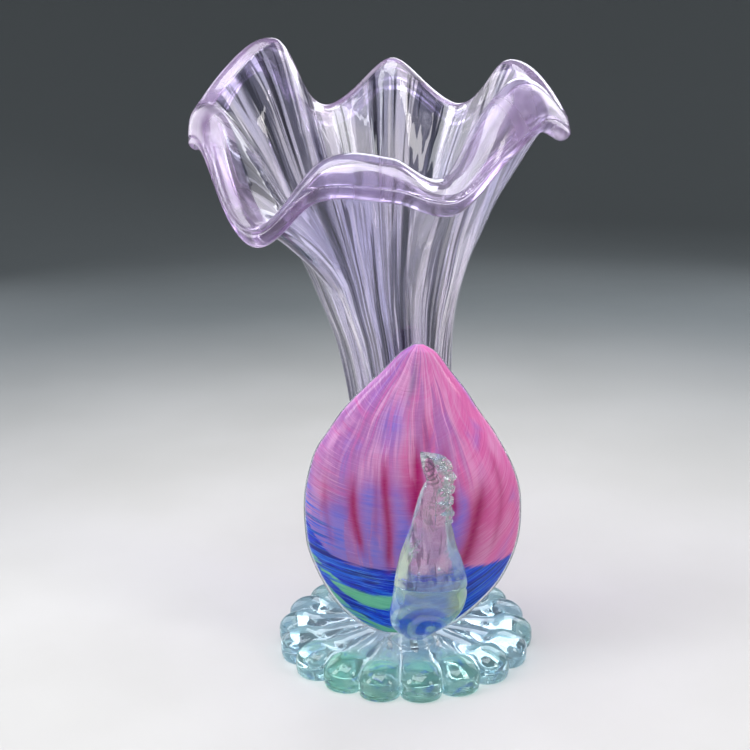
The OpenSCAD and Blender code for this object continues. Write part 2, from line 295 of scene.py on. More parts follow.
# How much aqua each lobe holds, from the notch nearest the front round by +X
LOBE_AQUA = [0.75, 0.7, 0.35, 0.15, 0.3, 0.1, 0.25, 0.5, 0.2, 0.4, 0.15, 0.3, 0.1, 0.15, 0.2, 0.45,
             1.0, 0.8]


def foot_mesh(fused_under):
    """The lobed foot. Its faces under the nodes it is fused to use slot 1."""
    per = 22
    k = np.tile(np.arange(per) / per, LOBES)
    lobe = np.repeat(np.arange(LOBES), per)
    turn = NOTCH_TURN + (lobe + (1 - np.cos(np.pi * k)) / 2) * 360 / LOBES
    swell = np.sin(np.pi * k)
    a = np.radians(turn)
    rings, uv, aqua, sky_reflection = [], [], [], []
    steps = np.concatenate([np.linspace(0, 3, 14), np.linspace(3, 10, 50)[1:],
                            np.linspace(10, LAST_RING, 34)[1:]])
    for s in steps:
        _, r0, dr, z0, groove = smooth(FOOT_RINGS, s)[0]
        uneven = 0.006 * np.sin(3 * a + 1) + 0.005 * np.sin(5 * a + lobe * 1.7)
        r = (r0 + dr * swell * (0.94 + 0.06 * np.sin(2.3 * lobe + 0.4))) * (1 - 0.016 + uneven)
        rings.append(np.stack([r * np.sin(a), -r * np.cos(a), z0 - groove * (1 - swell)], 1))
        uv.append(np.stack([turn / 360, np.full_like(r, s / LAST_RING)], 1))
        aqua.append(np.array(LOBE_AQUA)[lobe] * np.clip((r - 22) / 12, 0, 1) * (0.35 + 0.65 * swell))
        # Painted reflection: pale bars along the notches, where the grooves would mirror the sky.
        sky_reflection.append(np.clip(1 - swell * (r / 17), 0, 1) * np.clip((r - 10) / 5, 0, 1))
    points, faces = np.vstack(rings), grid(rings)
    obj = make("foot_glass", points, faces, np.vstack(uv))
    paint(obj, "aqua", np.concatenate(aqua))
    paint(obj, "sky_reflection", np.concatenate(sky_reflection))
    middle = points[np.array(faces[:-2])].mean(axis=1)
    slots = np.zeros(len(faces), np.int32)
    for node in fused_under:
        lo, hi = (np.array(corner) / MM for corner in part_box(node))
        near = np.hypot(*(middle[:, :2] - (lo + hi)[:2] / 2).T) < (hi[0] - lo[0]) / 2 - 0.4
        slots[:-2][near & (middle[:, 2] > FOOT_H - 0.05)] = 1
    slots[-1] = 1
    return obj, slots


# ---- tail
# [height, middle x, half width, front depth, back depth, middle y]
TAIL = [
    [10.2, 0, 6.5, 0.9, 0.9, -14], [12.5, 0.6, 12, 1.5, 1.6, -14], [15.5, 0.8, 16, 2.2, 2.3, -14],
    [19, 1, 19.7, 3, 2.9, -14], [25, 1.7, 24.4, 4.2, 3.6, -14.1], [31, 2, 27.6, 5.6, 4, -14.2],
    [37.5, 2.1, 29.9, 7.2, 4.3, -14.4], [43.5, 2.3, 30.8, 8.4, 4.4, -14.6],
    [50, 2.3, 31, 9.2, 4.4, -14.9], [56, 2.3, 30.5, 9.5, 4.3, -15.4],
    [62, 2.1, 29, 9.2, 4.1, -16], [68.3, 1.7, 26.5, 8.4, 3.8, -16.4],
    [74.3, 1.9, 22.9, 7.4, 3.5, -16.8], [80.3, 1.9, 18.8, 6.2, 3.1, -17.4],
    [86.2, 2.8, 14.3, 4.8, 2.6, -18], [92, 3.6, 9.2, 3.4, 2, -18.7],
    [97.5, 4.2, 4.6, 2, 1.3, -19.3], [99.6, 4.2, 1.3, 0.8, 0.6, -19.6]]
# How far the casing stands past the core's edge: [height, width]
CASING = [[10.2, 2.6], [15, 1.9], [19, 1.4], [30, 0.8], [50, 0.5], [100, 0.3]]
# The creases: [turn at the top, turn at the bottom, top height, bottom height, share of the
# full depth, width]
CREASES = [(-56, -50, 60, 40, 0.3, 2.6), (-33, -29, 58, 39, 1.0, 2.4), (-21, -19, 62, 44, 0.35, 1.8),
           (-14.5, -13, 64, 34, 0.95, 2.2), (3, 3, 69, 50, 1.0, 3.6), (12, 11, 78, 58, 0.45, 2.0),
           (22, 21, 66, 50, 1.0, 3.0), (40, 29, 56, 33, 1.0, 3.6), (58, 50, 66, 40, 0.35, 2.6)]
# Patches of lilac: [place across, its reach, height, its reach, strength]
LILACS = [(-0.30, 0.30, 48, 12, 1.0), (0.44, 0.10, 48, 10, 0.9), (-0.76, 0.16, 44, 10, 0.5),
          (-0.25, 0.25, 78, 9, 0.35)]
TAIL_Z = np.concatenate([np.linspace(10.2, 92, 150), np.linspace(92, 99.6, 26)[1:]])
FLUTE_DEPTH, CREASE_DEPTH, RIDGE_DEPTH = 0.30, 0.42, 0.012
FRONT = np.linspace(-90, 90, 241)
BACK = np.linspace(90, -90, 61)


def crease_at(a, z, wide=1.0):
    """How deep into a crease a point of the tail's front lies, 0 to 1."""
    total = np.zeros_like(a)
    for i, (upper, lower, top, low, share, width) in enumerate(CREASES):
        up = np.clip((z - low) / (top - low), -0.3, 1.3)
        middle = lower + (upper - lower) * up + 0.9 * math.sin(z / 6 + 2.2 * i)
        reach = np.clip((z - low + 4) / 7, 0, 1) * np.clip((top + 6 - z) / 9, 0, 1)
        total = np.maximum(total, share * reach * np.exp(-np.abs((a - middle) / (width * wide))**1.5))
    return total


def tail_front(z):
    """The front of the tail at one height, and how deep in a crease each point lies."""
    row = smooth(TAIL, z)[0]
    a = np.radians(FRONT)
    deep = min(1, row[3] / 6)
    crease = crease_at(FRONT, z)
    fade = np.clip((z - 26) / 14, 0, 1) * np.clip((88 - z) / 18, 0, 1)
    flute = FLUTE_DEPTH * deep * fade * (1 - np.abs(np.sin(10 * a))) * np.cos(a)
    wave = np.sin(z * 5.7 - 19 * np.sin(a)**2 + 2.3 * np.sin(5 * a) + 4 * np.sin(z / 5))
    ridge = RIDGE_DEPTH * wave * deep
    y = row[5] - row[3] * np.cos(a) + flute + CREASE_DEPTH * crease * deep + ridge * np.cos(a)
    pts = np.stack([row[1] + row[2] * np.sin(a), y, np.full_like(a, z)], 1)
    return pts, crease


def tail_back(z, share, grow):
    """The back at one height: a share of its full depth, with its edge moved out by grow."""
    row = smooth(TAIL, z)[0]
    a = np.radians(BACK)
    return np.stack([row[1] + (row[2] + grow) * np.sin(a),
                     row[5] + grow / 4 + row[4] * share * np.cos(a), np.full_like(a, z)], 1)


def tail_core_mesh():
    """The coloured core, with numbers at each point for the material's bands and strokes."""
    none = np.zeros(len(BACK) - 2)
    turn = np.concatenate([FRONT, BACK[1:-1]])
    q = np.sin(np.radians(turn))
    lift = np.where(q < 0, 14 * q**6 + 1.5 * q**2, 3 * q**4)
    sweep = np.where(q < 0, 7 * q**2, 15 * q**2 + 6 * q**6)
    across_front = np.exp(-((FRONT + 3) / 5)**2)
    rings, uv = [], []
    painted = {name: [] for name in ("wound", "crease", "side", "vein", "stroke", "wine_and_crease_shade", "lilac")}
    for z in TAIL_Z:
        front, crease = tail_front(z)
        rings.append(np.vstack([front, tail_back(z, 0.5, 0)[1:-1]]))
        uv.append(np.stack([(turn + 90) / 180, np.full_like(turn, z / 100)], 1))
        painted["wound"].append((z - lift) / 100)
        painted["crease"].append(np.concatenate([crease, none]))
        painted["side"].append(q / 2 + 0.5)
        painted["vein"].append(np.concatenate([across_front * bump(z, 90, 6), none]))
        painted["stroke"].append((z - sweep) / 100)
        # A wider crease mask for the magenta round the creases, partly painted shade.
        painted["wine_and_crease_shade"].append(np.concatenate([crease_at(FRONT, z, 2.6), none]))
        painted["lilac"].append(sum(strength * bump(q, at, reach) * bump(z, height, rise)
                                    for at, reach, height, rise, strength in LILACS))
    obj = make("tail_core_glass", np.vstack(rings), grid(rings), np.vstack(uv))
    for name, values in painted.items():
        paint(obj, name, np.concatenate(values))
    return obj


def tail_casing_mesh():
    """The clear crescent behind the core."""
    rings, uv = [], []
    for z in TAIL_Z[::2]:
        grow = smooth(CASING, z)[0, 1]
        inner = tail_back(z, 0.5, 0)[::-1]
        outer = tail_back(z, 1.0, grow)
        rings.append(np.vstack([inner + [0, 0.03, 0], outer]))
        n = len(inner) + len(outer)
        uv.append(np.stack([np.arange(n) / n, np.full(n, z / 100)], 1))
    return make("tail_casing_glass", np.vstack(rings), grid(rings), np.vstack(uv))


# ---- bird
# [height, middle x, half width, half depth, middle y]
BODY = [[10.2, 3.2, 2.6, 1.2, -18.6], [12.5, 3.1, 4.2, 2.6, -20.4], [15, 3.5, 6.5, 4.4, -21.9],
        [17.5, 4.3, 8.5, 5.6, -23], [21.5, 5.8, 10.3, 6.4, -24.1], [26, 6.9, 10.7, 6.5, -25.1],
        [31, 7.4, 10.5, 6.1, -26]]
NECK = [[31, 7.4, 10.5, 6.1, -26], [34, 7.4, 10.1, 5.7, -26.6], [39.5, 7.2, 8.9, 5.1, -27.5],
        [42.3, 7, 8, 4.8, -27.9], [48.4, 7.3, 6.3, 4.3, -28.5], [54.5, 7.5, 4.7, 3.7, -28.9],
        [58.6, 7.9, 3.9, 3.3, -29], [61.5, 8.5, 3.4, 3, -29.1], [63.3, 9.1, 3, 2.9, -29.2],
        [66.2, 8.4, 3.2, 2.9, -29.4], [69, 7.5, 2.9, 2.4, -29.7], [70.8, 6.5, 2.1, 1.6, -30],
        [72, 4.8, 0.4, 0.4, -30.4]]
# How far the crest stands out from the neck: [height, thickness]
CREST = [[50.6, 0.3], [52, 1], [55.5, 1.4], [59.3, 1.7], [63, 1.9], [67.4, 2.1], [69.8, 2.5],
         [71, 2.2], [71.6, 0.8]]
RING_LINE = 31
BIRD_SIDES = 96
BIRD_TURNS = np.arange(BIRD_SIDES) * 2 * np.pi / BIRD_SIDES
BODY_Z = np.linspace(10.25, 30.97, 70)
NECK_Z = np.linspace(31.03, 71.95, 200)
# The part of the neck that the crest covers, in steps round it and up it
COVERED = (3, 33)
COVERED_Z = (int(np.searchsorted(NECK_Z, CREST[0][0])), int(np.searchsorted(NECK_Z, CREST[-1][0])))
# [x, y, height, half width, half depth, half height]
BUBBLES = [(-0.6, -26.6, 27.6, 1.3, 1.0, 2.6), (4.5, -27.5, 35.4, 0.5, 0.5, 0.5),
           (9.5, -28, 37, 0.4, 0.4, 0.6), (1.6, -27, 24, 0.5, 0.5, 0.4), (11.5, -26, 22, 0.6, 0.5, 0.5),
           (8, -28.5, 19.5, 0.4, 0.4, 0.4)]
# The crest's bubbles, as [height, share of the way across]
CREST_BUBBLES = [(53.2, 0.35), (54.4, 0.62), (55.6, 0.48), (56.8, 0.70), (58.4, 0.30), (58.9, 0.55),
                 (60.6, 0.45), (61.9, 0.65), (63.2, 0.40), (65.0, 0.58), (66.6, 0.45)]


def bird_ring(rows, z, shape):
    """One ring of the bird at a height, with its radius scaled by the shape at each turn."""
    row = smooth(rows, z)[0]
    k = shape(BIRD_TURNS, z)
    return np.stack([row[1] + row[2] * k * np.sin(BIRD_TURNS),
                     row[4] - row[3] * k * np.cos(BIRD_TURNS), np.full(BIRD_SIDES, z)], 1)


def body_shape(a, z):
    """The pinch under the ring line, and a soft dent low on the bulb."""
    return (1 - 0.012 * bump(z, 29.6, 1.2) * (1 + np.cos(9 * a))
            - 0.02 * bump(z, 20, 4) * bump(a, 5.5, 0.4))


def neck_shape(a, z):
    """The wavy waist, the pulled seams, one flat facet, and the hollow round the eye."""
    waist = 0.028 * bump(z, 36, 1.6) * (1 + np.cos(13 * a + 0.5 + z / 3)) / 2
    seam = 0.11 * bump(z, 47, 7) * (1 - np.abs(np.sin(2.5 * a + z / 12)))
    facet = 0.13 * bump(z, 58, 6) * bump(a, 5.6, 0.45)
    eye = np.hypot((a - 0.1) / 0.75, (z - 67) / 2.1)
    head = 0.09 * bump(eye, 1, 0.22) + 0.05 * bump(eye, 0.45, 0.2)
    return 1 - waist - seam - facet - head


def bubble(centre, radii):
    """A trapped bubble: an egg of air, so its faces look inward."""
    sides, tiers = 20, 11
    a = np.arange(sides) * 2 * np.pi / sides
    rings = []
    for b in np.linspace(-1.45, 1.45, tiers):
        rings.append(np.array(centre) + np.stack([radii[0] * math.cos(b) * np.sin(a),
                     -radii[1] * math.cos(b) * np.cos(a),
                     np.full(sides, radii[2] * math.sin(b))], 1))
    return np.vstack(rings), [tuple(reversed(f)) for f in grid(rings)]


def with_bubbles(points, faces, bubbles):
    """The same mesh with bubbles trapped in it."""
    faces = list(faces)
    for centre, radii in bubbles:
        more, more_faces = bubble(centre, radii)
        faces += [tuple(i + len(points) for i in f) for f in more_faces]
        points = np.vstack([points, more])
    return points, faces


def bird_piece(name, rings, fused, bubbles):
    """A bulb or neck of the bird. The fused faces, where two pieces are one glass, use slot 1."""
    solid = np.vstack(rings)
    points, faces = with_bubbles(solid, grid(rings), bubbles)
    uv = np.stack([np.arctan2(points[:, 0] - 7, -points[:, 1] - 26) / 6.3, points[:, 2] / 100], 1)
    obj = make(name, points, faces, uv)
    z, right = points[:, 2], (points[:, 0] - 7) / 10
    paint(obj, "low", np.clip((29 - z) / 7, 0, 1) * np.clip((0.75 - right) / 0.5, 0, 1))
    paint(obj, "lime", np.clip((33 - z) / 5, 0, 1) * np.clip((right - 0.35) / 0.4, 0, 1))
    paint(obj, "waist", bump(z, 34.6, 1.5) * np.clip(right + 0.9, 0, 1))
    paint(obj, "head", np.clip((z - 61.5) / 2, 0, 1))
    slots = np.zeros(len(faces), np.int32)
    slots[fused] = 1
    return obj, slots


def side_faces(rings):
    """How many of a grid's faces are on its side, before its two ends."""
    return (len(rings) - 1) * len(rings[0])


def bird_meshes():
    """The bulb and the neck, which meet at the ring line, and the crest on the neck."""
    body = [bird_ring(BODY, z, body_shape) for z in BODY_Z]
    neck = [bird_ring(NECK, z, neck_shape) for z in NECK_Z]
    under_crest = [j * BIRD_SIDES + i for j in range(*COVERED_Z) for i in range(*COVERED)]
    in_body = [(b[:3], b[3:]) for b in BUBBLES if b[2] < RING_LINE]
    in_neck = [(b[:3], b[3:]) for b in BUBBLES if b[2] > RING_LINE]
    return (bird_piece("bird_body_glass", body, [side_faces(body) + 1], in_body),
            bird_piece("bird_neck_glass", neck, [side_faces(neck)] + under_crest, in_neck),
            crest_mesh(neck))


def crest_mesh(neck):
    """The lumpy ridge on the neck's own points, so that the two are one glass."""
    first, last = COVERED
    columns = np.arange(first + 1, last)
    share = np.sin(np.pi * (columns - first) / (last - first))**0.4
    a = BIRD_TURNS[columns]
    out = np.stack([np.sin(a), -np.cos(a), np.zeros_like(a)], 1)
    rings, thick = [], []
    for j in range(COVERED_Z[0], COVERED_Z[1] + 1):
        z = NECK_Z[j]
        s = (z - CREST[0][0]) / (CREST[-1][0] - CREST[0][0])
        lump = 1 + 0.30 * np.cos(2 * np.pi * 6 * s + 0.9 * np.sin(2 * a)) * (1.1 - 0.5 * s)
        lump = lump + (1 - 0.6 * s) * (0.22 * np.sin(5 * a + 1.9 * z) * np.sin(2.3 * z - 3 * a)
                                       + 0.12 * np.sin(9 * a - 3.1 * z))
        t = max(0.2, smooth(CREST, z)[0, 1]) * share * np.clip(lump, 0.25, 1.5)
        rings.append(np.vstack([neck[j][first:last + 1][::-1], neck[j][columns] + t[:, None] * out]))
        thick.append(t)
    thick = np.array(thick)
    trapped = []
    for z, way in CREST_BUBBLES:
        j = int(np.searchsorted(NECK_Z, z))
        c = int(way * (len(columns) - 1))
        near = j - COVERED_Z[0]
        room = thick[near - 3:near + 4, c - 2:c + 3].min()
        trapped.append((neck[j][columns[c]] + out[c] * room / 2, (0.26 * room,) * 3))
    points, faces = with_bubbles(np.vstack(rings), grid(rings), trapped)
    uv = np.stack([points[:, 0] / 20, points[:, 2] / 100], 1)
    obj = make("bird_crest_glass", points, faces, uv)
    per = len(rings[0])
    slots = np.zeros(len(faces), np.int32)
    quad = np.arange(side_faces(rings))
    slots[quad[quad % per < last - first]] = 1
    return obj, slots


def round_mesh(name, node, top_share, belly):
    """A low round of glass that settles into a feathered skirt, in the box of its CAD node."""
    lo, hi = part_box(node)
    centre = (np.array(lo) + np.array(hi)) / 2 / MM
    r, h = (hi.x - lo.x) / 2 / MM, (hi.z - lo.z) / MM
    a = np.radians(np.arange(128) * 360 / 128)
    wave = 1 - belly * (1 + np.sin(5 * a + 0.7)) / 2
    rings, uv = [], []
    for t in np.linspace(0, 1, 25):
        reach = r * wave * (top_share + (1 - top_share) * (1 - t)**2.4)
        rings.append(np.stack([centre[0] + reach * np.sin(a), centre[1] - reach * np.cos(a),
                               np.full_like(a, lo.z / MM + 0.03 + (h - 0.06) * t)], 1))
        uv.append(np.stack([a / (2 * np.pi), np.full_like(a, t)], 1))
    faces = grid(rings)
    slots = np.zeros(len(faces), np.int32)
    slots[-2] = 1
    return make(name, np.vstack(rings), faces, np.vstack(uv)), slots


# ---------------------------------------------------------------- materials

def srgb(r, g, b):
    """A colour picked on a screen, 0 to 255, as the linear colour that Blender wants."""
    def linear(c):
        c /= 255
        return c / 12.92 if c <= 0.04045 else ((c + 0.055) / 1.055)**2.4
    return (linear(r), linear(g), linear(b), 1.0)


class Nodes:
    """A material under construction, with short calls for the nodes it needs."""

    def __init__(self, name):
        self.material = bpy.data.materials.new(name)
        self.material.use_nodes = True
        self.tree = self.material.node_tree
        self.shader = next(n for n in self.tree.nodes if n.type == "BSDF_PRINCIPLED")

    def add(self, kind, **settings):
        node = self.tree.nodes.new(kind)
        for key, value in settings.items():
            setattr(node, key, value)
        return node

    def link(self, source, target):
        self.tree.links.new(source, target)

    def put(self, socket, value):
        """A link into the socket, or a plain value on it."""
        if isinstance(value, bpy.types.NodeSocket):
            self.link(value, socket)
        else:
            socket.default_value = value

    def math(self, operation, a, b=0.0, c=0.0):
        node = self.add("ShaderNodeMath", operation=operation)
        for socket, value in zip(node.inputs, (a, b, c)):
            self.put(socket, value)
        return node.outputs[0]

    def spread(self, value, lo, hi, to_lo=0.0, to_hi=1.0):
        """The value's run from lo to hi, eased onto to_lo to to_hi and held there past its ends."""
        node = self.add("ShaderNodeMapRange", interpolation_type="SMOOTHSTEP")
        for socket, item in zip(node.inputs, (value, lo, hi, to_lo, to_hi)):
            self.put(socket, item)
        return node.outputs[0]

    def mix(self, share, a, b):
        """Colour a turning into colour b as the share goes from 0 to 1."""
        node = self.add("ShaderNodeMix", data_type="RGBA")
        self.put(node.inputs["Factor"], share)
        self.put(node.inputs[6], a)
        self.put(node.inputs[7], b)
        return node.outputs[2]

    def noise(self, where, scale, detail=3.0, rough=0.5, warp=0.0):
        node = self.add("ShaderNodeTexNoise")
        self.link(where, node.inputs["Vector"])
        node.inputs["Scale"].default_value = scale
        node.inputs["Detail"].default_value = detail
        node.inputs["Roughness"].default_value = rough
        node.inputs["Distortion"].default_value = warp
        return node.outputs["Fac"]

    def place(self, scale=(1, 1, 1)):
        """Where a point is, in the object's own metres."""
        coords = self.add("ShaderNodeTexCoord")
        mapping = self.add("ShaderNodeMapping")
        mapping.inputs["Scale"].default_value = scale
        self.link(coords.outputs["Object"], mapping.inputs["Vector"])
        return mapping.outputs["Vector"]

    def flow(self, scale):
        """Where a point is along the glass: round the piece, then up it."""
        coords = self.add("ShaderNodeUVMap", uv_map="flow")
        mapping = self.add("ShaderNodeMapping")
        mapping.inputs["Scale"].default_value = scale
        self.link(coords.outputs["UV"], mapping.inputs["Vector"])
        return mapping.outputs["Vector"]

    def rings(self, middle, scale, warp):
        """Rings round a point (x, z) in metres, as seen along Y."""
        mapping = self.add("ShaderNodeMapping")
        mapping.inputs["Location"].default_value = (-middle[0], 0, -middle[1])
        self.link(self.place(), mapping.inputs["Vector"])
        node = self.add("ShaderNodeTexWave", wave_type="RINGS", rings_direction="Y")
        self.link(mapping.outputs["Vector"], node.inputs["Vector"])
        node.inputs["Scale"].default_value = scale
        node.inputs["Distortion"].default_value = warp
        node.inputs["Detail"].default_value = 3
        node.inputs["Detail Scale"].default_value = 1.4
        return node.outputs["Fac"]

    def value(self, name):
        """The number that paint() gave each point under this name."""
        return self.add("ShaderNodeAttribute", attribute_name=name).outputs["Fac"]

    def ripple(self, height, strength, distance):
        """Small relief on the glass, as shading only."""
        node = self.add("ShaderNodeBump")
        node.inputs["Strength"].default_value = strength
        node.inputs["Distance"].default_value = distance
        self.link(height, node.inputs["Height"])
        self.link(node.outputs["Normal"], self.shader.inputs["Normal"])

    def let_lamps_through(self, tint):
        """Lamps reach what lies behind the glass, through a thin tint of its colour."""
        out = next(n for n in self.tree.nodes if n.type == "OUTPUT_MATERIAL")
        mixer, path = self.add("ShaderNodeMixShader"), self.add("ShaderNodeLightPath")
        thin = self.add("ShaderNodeBsdfTransparent")
        thin.inputs["Color"].default_value = tint
        self.link(path.outputs["Is Shadow Ray"], mixer.inputs[0])
        self.link(self.shader.outputs[0], mixer.inputs[1])
        self.link(thin.outputs[0], mixer.inputs[2])
        self.link(mixer.outputs[0], out.inputs["Surface"])

    def set(self, **values):
        """Settings of the glass, under short names."""
        names = {"colour": "Base Color", "rough": "Roughness", "ior": "IOR",
                 "clear": "Transmission Weight", "coat": "Coat Weight",
                 "coat_rough": "Coat Roughness", "shine": "Specular IOR Level"}
        for key, value in values.items():
            self.put(self.shader.inputs[names[key]], value)


def clear_glass(name, pale, deep, scale, through, ripple):
    """Clear glass whose tint drifts between two colours, with a faint hand-worked ripple."""
    m = Nodes(name)
    drift = m.noise(m.place(), scale, 3, 0.5, 0.6)
    haze = m.noise(m.place(), scale * 2.7)
    m.set(colour=m.mix(m.spread(drift, 0.35, 0.68), pale, deep), clear=1.0, ior=1.5,
          rough=m.spread(haze, 0.35, 0.75, 0.0, 0.03))
    m.ripple(m.noise(m.place(), scale * 2.0, 2, 0.4), ripple, 0.0006)
    m.let_lamps_through(through)
    return m


def trumpet_material():
    """Lilac glass drawn upwards, with painted reflections: dark grey, near-black and white streaks run up
    the flare.
    """
    m = Nodes("trumpet_lilac_glass")
    broad = m.noise(m.flow((26, 0.8, 1)), 1.0, 2, 0.45, 0.4)
    reflection_streaks = m.noise(m.flow((84, 1.5, 1)), 1.0, 3, 0.55, 0.4)
    hue = m.noise(m.flow((9, 2.4, 1)), 1.0, 3, 0.5, 0.8)
    pale = m.mix(m.spread(hue, 0.38, 0.62), srgb(255, 252, 255), srgb(230, 228, 252))
    # Painted reflection: where the broad streaks run low, the tint turns dark grey, standing in for the
    # dark surroundings seen in the flare.
    tint = m.mix(m.spread(broad, 0.445, 0.485), srgb(102, 104, 118), pale)
    # Painted highlights and reflections: thin white streaks stand in for bright lights, and thin near-black
    # streaks for dark surroundings.
    tint = m.mix(m.math("MULTIPLY", m.spread(reflection_streaks, 0.56, 0.60), 0.85), tint, srgb(255, 252, 255))
    tint = m.mix(m.math("MULTIPLY", m.spread(reflection_streaks, 0.42, 0.39), 0.9), tint, srgb(38, 38, 52))
    m.set(colour=tint, clear=0.80, ior=1.5, rough=m.spread(broad, 0.4, 0.7, 0.0, 0.02))
    m.ripple(m.noise(m.flow((60, 2.2, 1)), 1.0, 2, 0.4), 0.30, 0.0012)
    m.let_lamps_through(srgb(230, 224, 238))
    return m


def tail_material():
    """Brush-like strokes: green and cobalt below, pinks above, lilac patches, and wine and magenta along
    the creases, partly the glass's colour and partly painted shade.
    """
    m = Nodes("tail_streaked_glass")
    wound, crease, side, vein = (m.value(n) for n in ("wound", "crease", "side", "vein"))
    crease_shade_halo, cool_zone = m.value("wine_and_crease_shade"), m.value("lilac")
    along = m.add("ShaderNodeCombineXYZ")
    m.link(side, along.inputs["X"])
    m.link(m.value("stroke"), along.inputs["Y"])

    def brushed(x, y, z=0.0, detail=4, rough=0.6, warp=0.3):
        """Noise drawn out along the brush-like strokes of colour."""
        mapping = m.add("ShaderNodeMapping")
        mapping.inputs["Scale"].default_value = (x, y, 1)
        mapping.inputs["Location"].default_value = (0, 0, z)
        m.link(along.outputs["Vector"], mapping.inputs["Vector"])
        return m.noise(mapping.outputs["Vector"], 1.0, detail, rough, warp)

    hair = brushed(5.0, 230, 0.0, 4, 0.68, 0.25)
    strand = brushed(3.6, 84, 4.0, 4, 0.62, 0.35)
    ribbon = brushed(2.6, 24, 7.0, 3, 0.55, 0.5)
    broad = brushed(8.0, 5.0, 9.0, 3, 0.5, 0.6)
    upward = brushed(26, 3.4, 12.0, 4, 0.55, 0.8)
    drape = brushed(17, 2.4, 15.0, 3, 0.5, 0.9)
    patch = brushed(5.0, 58, 18.0, 4, 0.6, 0.6)
    top = m.math("MULTIPLY", m.spread(wound, 0.50, 0.72), m.math("SUBTRACT", 1.0, m.spread(
        m.math("ABSOLUTE", m.math("SUBTRACT", side, 0.5)), 0.22, 0.46)))
    jitter = m.math("MULTIPLY", m.math("SUBTRACT", strand, 0.5), 0.040)
    jitter = m.math("ADD", jitter, m.math("MULTIPLY", m.math("SUBTRACT", hair, 0.5), 0.026))
    height = m.math("ADD", wound, jitter)
    left = m.spread(side, 0.46, 0.60, 1.0, 0.0)

    navy, cobalt, azure, ice = srgb(2, 12, 112), srgb(0, 40, 206), srgb(0, 104, 232), srgb(104, 172, 244)
    mint, leaf = srgb(122, 204, 164), srgb(96, 190, 140)
    lilac, peri = srgb(138, 122, 214), srgb(98, 108, 218)
    orchid, pink, rose = srgb(172, 112, 176), srgb(212, 132, 184), srgb(226, 112, 178)
    blush, magenta, wine_and_crease_shade = srgb(232, 172, 214), srgb(190, 40, 120), srgb(160, 6, 96)

    blue = m.mix(m.spread(strand, 0.44, 0.62), cobalt, azure)
    blue = m.mix(m.math("MULTIPLY", m.spread(patch, 0.50, 0.40), 0.75), blue, navy)
    blue = m.mix(m.math("MULTIPLY", m.spread(hair, 0.46, 0.36), 0.5), blue, navy)
    blue = m.mix(m.math("MULTIPLY", m.spread(hair, 0.53, 0.66), 0.62), blue, ice)
    green = m.mix(m.spread(hair, 0.4, 0.7), mint, leaf)
    base = m.mix(m.spread(height, 0.112, 0.122), green, blue)
    mint_band = m.math("MULTIPLY", m.spread(height, 0.178, 0.188), m.spread(height, 0.226, 0.236, 1.0, 0.0))
    base = m.mix(m.math("MULTIPLY", left, mint_band), base, green)

    pinks = m.mix(m.spread(side, 0.16, 0.48), orchid, pink)
    pinks = m.mix(m.spread(side, 0.52, 0.86), pinks, rose)
    pinks = m.mix(m.math("MULTIPLY", m.spread(broad, 0.46, 0.70), 0.55), pinks, blush)
    pinks = m.mix(m.math("MULTIPLY", m.spread(broad, 0.46, 0.30), 0.45), pinks, lilac)
    pinks = m.mix(m.math("MULTIPLY", m.spread(ribbon, 0.54, 0.72), 0.50), pinks, rose)
    # Magenta round the creases: partly the glass's colour, partly painted shade in the folds.
    pinks = m.mix(m.math("MULTIPLY", crease_shade_halo, m.spread(strand, 0.26, 0.62, 0.5, 1.0)), pinks, magenta)
    pinks = m.mix(m.math("MULTIPLY", top, m.spread(upward, 0.50, 0.60, 0.0, 0.8)), pinks, blush)
    pinks = m.mix(m.math("MULTIPLY", top, m.spread(drape, 0.50, 0.60, 0.0, 0.7)), pinks, orchid)
    pinks = m.mix(m.math("MULTIPLY", top, m.spread(upward, 0.46, 0.34, 0.0, 0.6)), pinks, rose)
    hairy = m.math("SUBTRACT", 0.58, m.math("MULTIPLY", top, 0.46))
    pinks = m.mix(m.math("MULTIPLY", m.spread(hair, 0.52, 0.70), hairy), pinks, blush)
    pinks = m.mix(m.math("MULTIPLY", m.spread(hair, 0.46, 0.32), hairy), pinks, magenta)
    cool = m.math("MULTIPLY", m.spread(cool_zone, 0.08, 0.55), m.spread(drape, 0.36, 0.48, 0.40, 0.97))
    cool = m.math("MULTIPLY", cool, m.math("SUBTRACT", 1.0, m.math("MULTIPLY", crease_shade_halo, 0.8)))
    dusk = m.math("MULTIPLY", m.spread(wound, 0.52, 0.36), m.spread(side, 0.66, 0.30))
    pinks = m.mix(m.math("MULTIPLY", dusk, m.spread(drape, 0.40, 0.54, 0.15, 0.75)), pinks, lilac)
    pinks = m.mix(cool, pinks, m.mix(m.spread(strand, 0.4, 0.62), lilac, peri))
    body = m.mix(m.spread(height, 0.322, 0.334), base, pinks)
    creep = m.math("MULTIPLY", m.spread(side, 0.20, 0.03), m.spread(strand, 0.48, 0.56))
    creep = m.math("MULTIPLY", creep, m.spread(wound, 0.50, 0.38))
    body = m.mix(creep, body, blue)
    # Dark wine in the creases: partly the glass's colour, partly painted shade in the folds.
    crease_shade = m.math("MULTIPLY", crease, m.spread(hair, 0.28, 0.50, 0.72, 1.0))
    body = m.mix(crease_shade, body, wine_and_crease_shade)
    body = m.mix(m.math("MULTIPLY", vein, 0.7), body, srgb(118, 104, 150))
    m.set(colour=body, rough=m.spread(strand, 0.3, 0.8, 0.22, 0.36), coat=0.35, coat_rough=0.08,
          ior=1.5, shine=0.25)
    m.ripple(m.math("ADD", hair, strand), 0.30, 0.0004)
    return m


